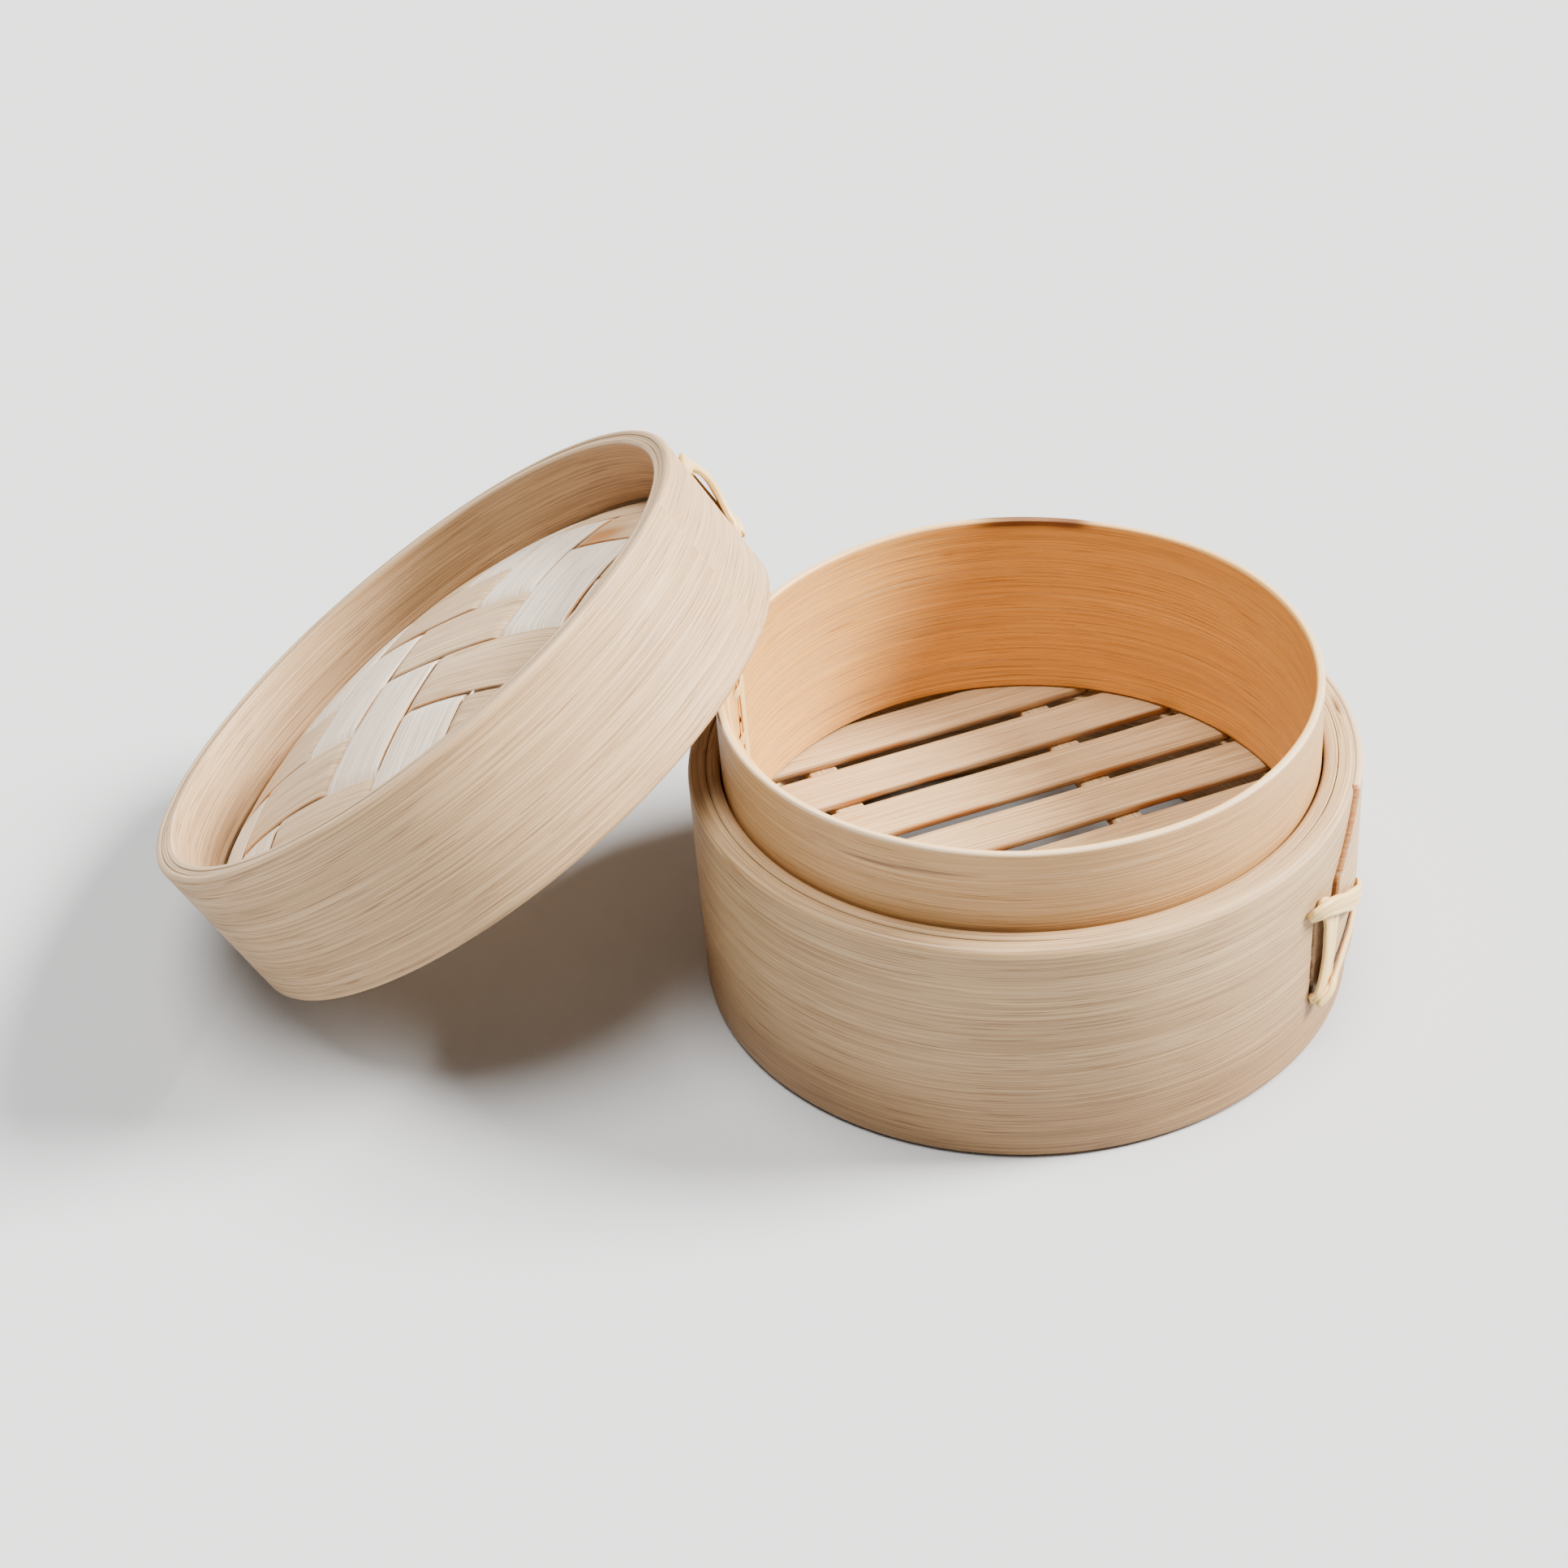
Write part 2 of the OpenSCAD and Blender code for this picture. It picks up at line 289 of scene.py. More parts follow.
def noise(tree, place, along, across, detail, rough=0.55):
    """Noise that is long along the fibres and fine across them. Scales are cells per metre."""
    stretch = add(tree, "ShaderNodeMapping")
    stretch.inputs["Scale"].default_value = (along, across, 1)
    tree.links.new(place, stretch.inputs["Vector"])
    node = add(tree, "ShaderNodeTexNoise", noise_dimensions="2D")
    node.inputs["Scale"].default_value = 1
    node.inputs["Detail"].default_value = detail
    node.inputs["Roughness"].default_value = rough
    tree.links.new(stretch.outputs["Vector"], node.inputs["Vector"])
    return node.outputs["Fac"]


def remap(tree, value, low, high, out_low=0.0, out_high=1.0):
    """A smooth step from out_low to out_high while value goes from low to high."""
    node = add(tree, "ShaderNodeMapRange", interpolation_type="SMOOTHSTEP")
    for key, number in (("From Min", low), ("From Max", high), ("To Min", out_low), ("To Max", out_high)):
        node.inputs[key].default_value = number
    tree.links.new(value, node.inputs["Value"])
    return node.outputs["Result"]


def mix(tree, share, first, second, blend="MIX"):
    """Colour mix. first and second are sockets or colours, share a socket."""
    node = add(tree, "ShaderNodeMix", data_type="RGBA", blend_type=blend)
    tree.links.new(share, node.inputs["Factor"])
    for value, index in ((first, 6), (second, 7)):
        if isinstance(value, bpy.types.NodeSocket):
            tree.links.new(value, node.inputs[index])
        else:
            node.inputs[index].default_value = (*value, 1)
    return node.outputs[2]


def math_node(tree, operation, first, second):
    """The result of an operation on two sockets or numbers."""
    node = add(tree, "ShaderNodeMath", operation=operation)
    for value, index in ((first, 0), (second, 1)):
        if isinstance(value, bpy.types.NodeSocket):
            tree.links.new(value, node.inputs[index])
        else:
            node.inputs[index].default_value = value
    return node.outputs[0]


# The tints of the painted stains and painted shade that all the finishes share. The amber, dark and dull
# tints each paint real marks and painted shade.
DARK_MARKS_AND_GAP_SHADE = (0.20, 0.115, 0.07)
DULL_AND_SHADE = (0.70, 0.61, 0.53)
BRIGHT = (0.84, 0.70, 0.50)


def bamboo(name, pale, body, streak, dash, stain=(0.74, 0.44, 0.20), roughness=0.5, fibre=2100,
           contrast=1.0):
    """Split bamboo: fine fibres, thin dark lines and dashes, broad tones, painted stains and painted
    shade.

    pale, body, streak and dash are its colours from light to dark, and the amber tint, given last, paints
    both amber stains and painted shade.
    fibre is the fibres' scale across the strip, in cells per metre.
    """
    material = bpy.data.materials.new(name)
    material.use_nodes = True
    tree = material.node_tree
    surface = tree.nodes["Principled BSDF"]
    place = add(tree, "ShaderNodeUVMap", uv_map="strip").outputs["UV"]

    fibres = noise(tree, place, 11, fibre, 3, 0.62)
    fine = noise(tree, place, 30, fibre * 1.9, 2)
    veins = noise(tree, place, 6, fibre * 0.4, 2, 0.5)
    broad = noise(tree, place, 6, 110, 3)
    patches = noise(tree, place, 14, 22, 2)
    dashes = noise(tree, place, 70, fibre * 1.5, 1)
    from_vein = math_node(tree, "ABSOLUTE", math_node(tree, "SUBTRACT", veins, 0.5), 0)
    vein_line = remap(tree, from_vein, 0, 0.02, 1, 0)

    colour = mix(tree, remap(tree, fibres, 0.40, 0.60, 0, 1.0), body, pale)
    colour = mix(tree, remap(tree, broad, 0.44, 0.7, 0, 0.35 * contrast), colour, streak)
    colour = mix(tree, remap(tree, fine, 0.5, 0.61, 0, 0.75 * contrast), colour, streak)
    colour = mix(tree, remap(tree, patches, 0.4, 0.7, 0, 0.25), colour, pale)
    colour = mix(tree, math_node(tree, "MULTIPLY", vein_line, 0.35 * contrast), colour, dash)
    colour = mix(tree, remap(tree, dashes, 0.65, 0.71, 0, 0.6 * contrast), colour, dash)

    # The amber, dark and dull layers paint real stains, scorch and tone, and also painted shade and
    # painted shadow.
    tints = (("pale", BRIGHT, "MIX"), ("dull", DULL_AND_SHADE, "MULTIPLY"), ("amber", stain, "MULTIPLY"),
             ("char", DARK_MARKS_AND_GAP_SHADE, "MULTIPLY"))
    for key, tint, blend in tints:
        layer = add(tree, "ShaderNodeAttribute", attribute_name=key).outputs["Fac"]
        rough_edge = math_node(tree, "MULTIPLY", layer, remap(tree, fibres, 0.2, 0.6, 0.55, 1.25))
        colour = mix(tree, remap(tree, rough_edge, 0, 1), colour, tint, blend)
    tree.links.new(colour, surface.inputs["Base Color"])

    shine = remap(tree, fibres, 0.3, 0.7, roughness + 0.12, roughness - 0.06)
    tree.links.new(shine, surface.inputs["Roughness"])
    surface.inputs["Specular IOR Level"].default_value = 0.35
    surface.inputs["Subsurface Weight"].default_value = 0.04
    surface.inputs["Subsurface Radius"].default_value = (0.6 * MM, 0.35 * MM, 0.2 * MM)
    surface.inputs["Subsurface Scale"].default_value = 1
    relief = add(tree, "ShaderNodeBump")
    relief.inputs["Strength"].default_value = 0.6
    relief.inputs["Distance"].default_value = 0.15 * MM
    height = math_node(tree, "SUBTRACT", fibres, math_node(tree, "MULTIPLY", vein_line, 0.35))
    tree.links.new(height, relief.inputs["Height"])
    tree.links.new(relief.outputs["Normal"], surface.inputs["Normal"])
    return material


HOOP = bamboo("hoop_bamboo", (0.49, 0.33, 0.17), (0.38, 0.24, 0.115), (0.28, 0.165, 0.075),
              (0.18, 0.09, 0.035))
LID = bamboo("lid_bamboo", (0.54, 0.355, 0.19), (0.43, 0.27, 0.13), (0.32, 0.19, 0.085),
             (0.20, 0.10, 0.04))
COLLAR = bamboo("collar_bamboo", (0.76, 0.52, 0.26), (0.64, 0.405, 0.175), (0.52, 0.305, 0.115),
                (0.34, 0.165, 0.05), stain=(0.97, 0.72, 0.32), roughness=0.42, contrast=0.8)
FLOOR = bamboo("floor_bamboo", (0.57, 0.385, 0.20), (0.46, 0.29, 0.13), (0.36, 0.205, 0.085),
               (0.24, 0.12, 0.045), fibre=2200)
# The warps' finish is the tan bamboo painted paler with the sheen that these strips show across the light;
# the tan below is the same bamboo without it.
WEAVE_WITH_PAINTED_SHEEN = bamboo("weave_pale", (0.92, 0.80, 0.65), (0.80, 0.66, 0.50), (0.65, 0.49, 0.33),
              (0.44, 0.30, 0.18), fibre=2000)
TAN = bamboo("weave_tan", (0.74, 0.54, 0.33), (0.59, 0.40, 0.22), (0.46, 0.28, 0.135),
             (0.32, 0.17, 0.07), fibre=2000)
CANE = bamboo("rattan", (0.80, 0.60, 0.25), (0.70, 0.48, 0.165), (0.57, 0.34, 0.10),
              (0.38, 0.19, 0.055), stain=(0.58, 0.31, 0.11), roughness=0.36, fibre=1900, contrast=0.9)

BASKET_PLACE = Matrix.Identity(4)


def lid_place():
    """Where the lid lies, from the lift's axis and the socket's middle. Its low side is its own +X."""
    axis = Vector(frame["joints"][0]["axis"]).normalized()
    socket = next(m for m in RECORD["mounts"] if m["name"] == "lid_socket")
    origin = Vector(socket["pos_m"]) - axis * SOCKET_MIDDLE_H * MM
    low_side = (axis * axis.z - Vector((0, 0, 1))).normalized()
    side = axis.cross(low_side)
    place = Matrix((low_side, side, axis)).transposed().to_4x4()
    place.translation = origin
    return place


LID_PLACE = lid_place()


def finish_piece(piece, body, slot, *nodes):
    """Puts the piece on the body that it rides on and hides the CAD nodes that it stands for; slot is not
    used.
    """
    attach(piece, body)
    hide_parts(*nodes)
    return piece


def tie_holes(turn, z_low, tall, angle, height):
    """Where a tie's strips go into the wall, for painted shade in its holes and slit: 1 in the dark of a
    hole, 0 away from all of them.
    """
    scale = tall / TIE_TALL
    top = bump(turn - 5.4, 1.1, angle) * bump(z_low + 17.9 * scale, 1.9, height)
    far = bump(turn + 19.4, 1.3, angle) * bump(z_low + 7.6 * scale, 1.7, height)
    slit = bump(turn - 3.3, 0.6, angle + 0.1 * np.sin(height * 1.7))
    slit = slit * bump(z_low + tall / 2, tall * 0.6, height) ** 0.4
    return np.clip(top + far + slit, 0, 1)


# ---------------------------------------------------------------- the basket's hoop
def outer_ply():
    """The wound outer ply, with a short split in its rim and the slit that the tie goes through. Painted
    shade darkens the split, the slit and the wall towards its foot, and the lid's painted shadow lies on
    its left side.
    """
    def rim_split(angle, radius, height, half_width):
        near_rim = smooth(HOOP_H - 1, HOOP_H - 0.2, height)
        return bump(SPLIT_TURN, 5, angle) * bump(SPLIT_R, half_width, radius) * near_rim

    def carve(angle, radius, height):
        slit = bump(SLIT_TURN, 0.6, angle + 0.25 * np.sin(height * 1.7))
        slit = slit * smooth(SLIT_LOW - 0.8, SLIT_LOW, height)
        slit = slit * (1 - smooth(SLIT_TOP, SLIT_TOP + 0.8, height))
        slit = slit * smooth(HOOP_R - 0.8, HOOP_R - 0.4, radius)
        return -1.6 * slit, -1.3 * rim_split(angle, radius, height, 0.45)

    def paint(angle, radius, height):
        split = rim_split(angle, radius, height, 0.5)
        slit = bump(SLIT_TURN, 0.8, angle) * smooth(SLIT_LOW - 1.2, SLIT_LOW, height)
        slit = slit * (1 - smooth(SLIT_TOP, SLIT_TOP + 1, height))
        rim = smooth(HOOP_H - 0.9, HOOP_H - 0.1, height)
        near_tie = bump(SLIT_TURN, 4, angle) * bump(17, 12, height)
        return {
            # Painted shadow of the lid round the left side, near 175 degrees; and more amber round the
            # tie.
            "amber": 0.28 * (1 - rim) * bump(175, 35, np.abs(angle)) + 0.3 * near_tie,
            # Painted shade inside the rim's split and the tie's slit.
            "char": 0.95 * split + 0.9 * slit,
            # Painted shade: the wall darker towards its foot.
            "dull": 0.85 * (1 - smooth(0, 26, height)),
        }

    section = band_section(PLY_JOINT_R + HOOP_PLY_GAP, HOOP_R, 0, HOOP_H, 0.16, 1.25)
    piece = band("outer_ply", section, HOOP, BASKET_PLACE, 11, carve=carve, paint=paint,
                 fine_at=[(SLIT_TURN, 1.5), (SPLIT_TURN, 7)])
    return finish_piece(piece, "basket", "hoop_bamboo", "hoop_outer_ply")


def lap_rise(angle):
    """How far the lapped end stands off the hoop at an angle."""
    return LAP * np.cos(np.radians(angle - LAP_TURN))


def tongue():
    """The outer ply's own end, lapped over its start, cut to a slanting tongue.

    x is the distance round the wall from TONGUE_TURN. The cut end leans over a corner in its middle,
    and the foot drops from the end's low corner towards the far end, where the strip dies out.
    """
    rows, columns = 120, 60
    top = HOOP_H - 0.4
    end_x, end_z = -13.5, 10
    far_x = 79.0
    across = np.linspace(0, 1, columns)
    edge_x = np.interp(across, [0, 0.64, 1], [end_x, -10.5, -0.5])
    edge_z = np.interp(across, [0, 0.64, 1], [end_z, 28, top])
    along = np.linspace(0, 1, rows) ** 1.6
    x = edge_x[None, :] + (far_x - edge_x[None, :]) * along[:, None]
    from_end = x - edge_x[None, :]
    low = np.interp(x[:, 0], [end_x, 14, far_x], [end_z, 4, 2])[:, None]
    share = (edge_z - edge_z[0]) / (edge_z[-1] - edge_z[0])
    z = low + (top - low) * share[None, :]
    angle = TONGUE_TURN + np.degrees(x / HOOP_R)
    edge = np.minimum.reduce([from_end, z - low, top - z])
    soften = 0.28 * (1 - smooth(0, 0.5, edge))
    outer_r = HOOP_R + np.maximum(lap_rise(angle), 0) - soften - 0.3 * smooth(58, far_x, x)
    inner_r = np.full_like(outer_r, HOOP_R - 0.35)

    def on_wall(radius):
        turn = np.radians(angle)
        return np.stack([radius * np.cos(turn), radius * np.sin(turn), z], -1)

    end_edge = 1 - smooth(0, 0.9, from_end)
    foot_edge = 1 - smooth(0, 0.6, z - low)
    # Painted shade: the tie's holes are painted dark as the shade inside them.
    holes = tie_holes(TIE_TURN, HOOP_TIE_LOW, TIE_TALL, angle, z)
    paint_shares = {
        "amber": np.clip(0.95 * end_edge + 0.6 * foot_edge, 0, 1),
        "char": np.clip(0.25 * end_edge + holes, 0, 1),
        "pale": 0.3 * smooth(HOOP_H - 1.6, HOOP_H - 0.6, z) * (1 - end_edge),
    }
    piece = shell("outer_ply_tongue", on_wall(outer_r), on_wall(inner_r), HOOP, BASKET_PLACE, 12, paint_shares)
    return finish_piece(piece, "basket", "hoop_bamboo", "hoop_outer_ply")


def inner_ply():
    """The hoop's inner ply, with an amber tone along its rim that deepens next to the collar as painted
    shade in the corner.
    """
    section = band_section(RECESS_R, PLY_JOINT_R - HOOP_PLY_GAP, 0, HOOP_H, 0.5, 0.16)

    def paint(angle, radius, height):
        # Amber tone along the rim, deeper next to the collar as painted shade in the corner.
        near_rim = 0.35 * smooth(HOOP_H - 4, HOOP_H, height)
        return {"amber": near_rim * (1 - 0.7 * smooth(RECESS_R + 0.5, RECESS_R + 1.1, radius))}

    piece = band("inner_ply", section, HOOP, BASKET_PLACE, 21, paint=paint)
    return finish_piece(piece, "basket", "hoop_bamboo", "hoop_inner_ply")


# ---------------------------------------------------------------- the collar
def collar():
    """The standing inner wall: honey inside, paler outside, its back rim scorched dark, with painted shade
    at its outer foot and in its crack.
    """
    section = band_section(COLLAR_IN_R, COLLAR_R, SLAT_TOP, COLLAR_TOP, 0.5, 0.5, 0.5)

    def crack_at(angle, height):
        middle = COLLAR_TOP - CRACK_BELOW_RIM + 0.02 * (angle - CRACK_TURN)
        return bump(CRACK_TURN, 22, angle) * bump(middle, 0.5, height)

    def carve(angle, radius, height):
        crack = crack_at(angle, height) * smooth(COLLAR_R - 0.2, COLLAR_R - 0.05, radius)
        return -0.22 * crack, 0 * height

    def paint(angle, radius, height):
        outside = smooth(COLLAR_IN_R + 0.5, COLLAR_IN_R + 1.0, radius)
        rim = smooth(COLLAR_TOP - 0.7, COLLAR_TOP - 0.1, height)
        scorch = 1 - smooth(7, 17, np.abs(angle - SCORCH_TURN))
        scorch = scorch * smooth(COLLAR_TOP - 2.4, COLLAR_TOP - 0.5, height)
        scorch = scorch * (0.85 + waves(34, 0.5, 20, 12)(angle))
        knots = 0.7 * bump(104, 2.2, angle) * bump(45.5, 1.0, height)
        knots = knots + 0.5 * bump(70, 1.6, angle) * bump(43, 0.8, height)
        # Painted shade: the carved crack is painted as a dark line.
        crack = crack_at(angle, height) * outside
        # Painted shade at the foot of the outer face, where it stands out of the hoop's rim.
        foot = outside * (1 - smooth(HOOP_H - 0.5, HOOP_H + 2.2, height))
        honey = 0.62 + 0.3 * waves(33, 0.5, 1, 5)(angle) + 0.2 * bump(75, 70, angle)
        inside_honey = (1 - outside) * honey
        return {
            "pale": 0.5 * rim,
            "dull": outside * (1 - 0.5 * rim),
            "amber": np.clip(inside_honey + 0.4 * foot + knots * (1 - outside), 0, 1),
            "char": np.clip(scorch + 0.9 * crack + 0.35 * knots * (1 - outside), 0, 1),
        }

    piece = band("collar_wall", section, COLLAR, BASKET_PLACE, 31, rim_wave=0.3, carve=carve, paint=paint,
                 fine_at=[(CRACK_TURN, 23), (SCORCH_TURN, 18)])
    return finish_piece(piece, "basket", "collar_bamboo", "collar")


def collar_lap():
    """The collar's own end, which laps inside and thins out along the wall."""
    rows, columns = 70, 26
    top = COLLAR_TOP - 1.2
    turn = SEAM_TURN + 105 * np.linspace(0, 1, rows) ** 1.5
    z = np.linspace(SLAT_TOP + 0.1, top, columns)
    a, height = np.meshgrid(turn, z, indexing="ij")
    lean = 0.9 * (height - SLAT_TOP) / (COLLAR_TOP - SLAT_TOP)
    a = a + lean * (1 - smooth(0, 12, a - SEAM_TURN))
    rise = LAP * np.cos(np.radians(a - SEAM_TURN - 30))
    edge = np.minimum((a - SEAM_TURN) * 0.7, top - height)
    face_r = COLLAR_IN_R - np.maximum(rise, 0) + 0.25 * (1 - smooth(0, 0.5, edge))
    back_r = np.full_like(face_r, COLLAR_IN_R + 0.3)

    def on_wall(radius):
        return np.stack([radius * np.cos(np.radians(a)), radius * np.sin(np.radians(a)), height], -1)

    end_edge = 1 - smooth(0, 1.2, a - SEAM_TURN)
    # Painted shade: the lacing holes are painted dark as the shade inside them.
    holes = sum(bump(SEAM_TURN + 4.3, 1.0, a) * bump(z_hole, 1.3, height) for z_hole in LACING_HEIGHTS)
    paint_shares = {"pale": 0.35 * end_edge, "amber": 0.5 + 0.3 * bump(SEAM_TURN + 3, 2.5, a), "char": holes}
    piece = shell("collar_lap_end", on_wall(face_r), on_wall(back_r), COLLAR, BASKET_PLACE, 32, paint_shares)
    return finish_piece(piece, "basket", "collar_bamboo", "collar")


# ---------------------------------------------------------------- flat rattan cane
def cane(name, path, width, thick, body, place, seed, nodes, out, amber_edge=0.35):
    """A flat strip of split cane, rounded on its outer face, along a path of points in millimetres.

    out(point) is the direction that its outer face looks in.
    """
    path = np.array(path, float)
    steps = lengths(path)
    count = max(12, int(steps[-1] / 0.4))
    wanted = np.linspace(0, steps[-1], count)
    centre = np.stack([np.interp(wanted, steps, path[:, k]) for k in range(3)], -1)
    for _ in range(6):
        centre[1:-1] = (centre[:-2] + 2 * centre[1:-1] + centre[2:]) / 4
    forward = np.gradient(centre, axis=0)
    forward /= np.linalg.norm(forward, axis=1, keepdims=True)
    normal = np.array([out(p) for p in centre])
    normal -= forward * (normal * forward).sum(1, keepdims=True)
    normal /= np.linalg.norm(normal, axis=1, keepdims=True)
    side = np.cross(forward, normal)
    turns = np.radians(np.linspace(0, 360, 29)[:-1])
    across = np.sign(np.cos(turns)) * np.abs(np.cos(turns)) ** 0.45 * width / 2
    uneven = 1 + waves(seed, 0.16, 1, 5)(wanted / steps[-1] * 300)[:, None, None]
    swell = np.abs(np.sin(turns))
    up = np.where(np.sin(turns) > 0, swell**0.8 * thick, -(swell**0.4) * thick * 0.2)
    ends = smooth(0, 0.9, np.minimum(wanted, steps[-1] - wanted))[:, None, None] * 0.35 + 0.65
    points = centre[:, None] + side[:, None] * across[None, :, None] * ends * uneven
    points = points + normal[:, None] * up[None, :, None]
    caps = [end.mean(axis=1, keepdims=True) + 0 * end for end in (points[:1], points[-1:])]
    points = np.concatenate([caps[0], points, caps[1]], 0)
    edge = np.abs(np.cos(turns)) ** 3
    paint_shares = {"amber": amber_edge * np.broadcast_to(edge, points.shape[:2])}
    half_way = points[count // 2]
    along_u = lengths(points.mean(axis=1))
    across_v = lengths(np.concatenate([half_way, half_way[:1]]))
    along, across_at = strip_uv(along_u, across_v, seed)
    piece = grid_piece(name, points, along, across_at, CANE, place, paint_shares, False, True)
    return finish_piece(piece, body, "rattan", *nodes)


def outward(point):
    """The level direction away from the ring's axis."""
    return np.array([point[0], point[1], 0]) / math.hypot(point[0], point[1])


def inward(point):
    """The level direction towards the ring's axis."""
    return -outward(point)


def on_cylinder(places):
    """Points from (angle, radius, height)."""
    return [(r * math.cos(math.radians(a)), r * math.sin(math.radians(a)), z) for a, r, z in places]


def wall_tie(name, turn, wall_r, z_low, tall, bow, stand, body, place, nodes):
    """The tie: a strip up the wall, a loop slanting down over it, and a thinner strip slanting under.

    bow is how far the strip up the wall bulges, and stand how far the loop stands off.
    """
    def at(turned, off_wall, up):
        """A place on the tie: degrees round, millimetres off the wall, and up it in TIE_TALL's scale."""
        return (turn + turned, wall_r + off_wall, z_low + up * tall / TIE_TALL)

    upright = on_cylinder([at(-3.6, -0.9, 1.2), at(-2.6, 0.05, 1.6), at(-1.2, 0.15, 4),
                           at(-0.4, 0.15 + 0.6 * bow, 8), at(-0.2, 0.15 + bow, 12),
                           at(-0.4, 0.15 + 0.7 * bow, 15), at(-1.2, 0.1, 17.6), at(-3.0, -0.7, 18.2)])
    loop = on_cylinder([at(-5.6, -0.7, 17.6), at(-4.6, 0.25, 18.4), at(-2, 0.85 * stand, 18.3),
                        at(2, stand, 16.4), at(8, 0.95 * stand, 13.2), at(14, 0.7 * stand, 10.0),
                        at(18.5, 0.25, 8.0), at(19.6, -0.4, 7.4)])
    under = on_cylinder([at(18.6, -0.2, 8.8), at(16, 0.3, 8.4), at(10, 0.45, 6.2), at(4, 0.55, 3.6),
                         at(1, 0.7, 2.2), at(-2, 0.6, 1.6), at(-3.4, -0.4, 1.0)])
    knot = on_cylinder([at(-3.0, 0.1, 0.2), at(-1.4, 0.85, 1.1), at(0.4, 0.95, 1.9), at(2.2, 0.6, 2.6)])
    second = on_cylinder([at(1.2, 0.0, 0.9), at(1.0, 0.2, 4.5), at(1.6, 0.2, 9), at(2.6, 0.15, 14.5)])
    cane(name + "_upright", upright, 3.1, 0.55 + 0.4 * bow, body, place, 41, nodes, outward)
    cane(name + "_second", second, 1.9, 0.4, body, place, 45, nodes, outward, 0.6)
    cane(name + "_under", under, 2.0, 0.5, body, place, 42, nodes, outward, 0.7)
    cane(name + "_loop", loop, 3.2, 0.7, body, place, 43, nodes, outward)
    cane(name + "_knot", knot, 2.2, 0.6, body, place, 44, nodes, outward)


def stitches():
    """Cane lacing inside the collar: three wraps over the lapped edge and the strip that joins them."""
    face_r = COLLAR_IN_R - LAP
    node = ("collar_stitch",)
    joining = on_cylinder([(SEAM_TURN - 1.2, face_r - 0.15, 26), (SEAM_TURN - 0.6, face_r - 0.25, 33),
                           (SEAM_TURN - 0.4, face_r - 0.25, 40), (SEAM_TURN - 0.9, face_r - 0.15, 47.4)])
    cane("lacing_strip", joining, 2.4, 0.35, "basket", BASKET_PLACE, 51, node, inward, 0.5)
    for k, z in enumerate(LACING_HEIGHTS):
        wrap = on_cylinder([(SEAM_TURN - 3.4, COLLAR_IN_R + 0.3, z + 0.9),
                            (SEAM_TURN - 2.8, COLLAR_IN_R - 0.35, z + 0.7),
                            (SEAM_TURN - 0.4, face_r - 0.5, z + 0.2),
                            (SEAM_TURN + 2.6, face_r - 0.35, z - 0.4),
                            (SEAM_TURN + 4.2, face_r + 0.5, z - 0.8)])
        cane(f"lacing_wrap_{k + 1}", wrap, 2.0, 0.35, "basket", BASKET_PLACE, 52 + k, node, inward, 0.6)


# ---------------------------------------------------------------- strips laid across a round wall
def crossing_strip(name, middle, width, wall_r, height_at, thick, swap, material, place, seed,
                   paint_at=None):
    """A flat strip across a round opening, its ends cut to the wall.

    height_at(x, y, along) is its middle surface. swap lays it along X and not along Y.
    paint_at(x, y) adds stains to those of its worn edges.
    """
    rng = random.Random(seed)
    low = max(middle - width / 2 + rng.uniform(-0.12, 0.12), -wall_r + 0.4)
    high = min(middle + width / 2 + rng.uniform(-0.12, 0.12), wall_r - 0.4)
    flat = np.linspace(low + EDGE_ROUND, high - EDGE_ROUND, 13)
    across = np.concatenate([[low, low + 0.12], flat, [high - 0.12, high]])
    rows = 150
    share = np.linspace(-1, 1, rows)[:, None]
    reach = np.sqrt(wall_r**2 - across**2)[None, :]
    skew = rng.uniform(-0.15, 0.15)
    edge_wave = waves(seed, 0.1, 2, 5)
    along = share * reach
    sideways = across[None, :] + skew * along / wall_r + edge_wave(along * 3)
    over = np.hypot(sideways, along) / wall_r
    pull = np.where(over > 1, over, 1)
    sideways, along = sideways / pull, along / pull
    x, y = (along, sideways) if swap else (sideways, along)
    z = height_at(x, y, along)
    from_edge = np.minimum(across - low, high - across)[None, :]
    half = thick / 2 * np.sqrt(np.clip(1 - (1 - np.clip(from_edge / EDGE_ROUND, 0, 1)) ** 2, 0.12, 1))
    cup = 0.10 * (1 - ((across - (low + high) / 2) / (high - low) * 2) ** 2)[None, :]
    top = np.stack([x, y, z + half + cup], -1)
    foot = np.stack([x, y, z - half + cup], -1)
    worn = 0.3 + np.clip(waves(seed + 7, 1.2, 3, 8)(along * 3), 0, 0.5)
    paint_shares = {"amber": worn * (1 - smooth(0, 0.25, from_edge))}
    if paint_at:
        for key, values in paint_at(x, y).items():
            paint_shares[key] = np.clip(paint_shares.get(key, 0) + values, 0, 1)
    if swap:
        top, foot = top[::-1], foot[::-1]
        paint_shares = {key: values[::-1] for key, values in paint_shares.items()}
    return shell(name, top, foot, material, place, seed, paint_shares)


def slat_surface(seed):
    """The middle surface of a floor slat, a little uneven along it."""
    wave = waves(seed, 0.12, 1, 3)

    def height(x, y, along):
        return (SLAT_LOW + SLAT_TOP) / 2 - 0.08 + 0 * x + 0.4 * wave(along * 2)

    return height


def bar_surface(x, y, along):
    """The middle surface of a crossbar, just under the slats."""
    return SLAT_LOW - 1.0 + 0 * x


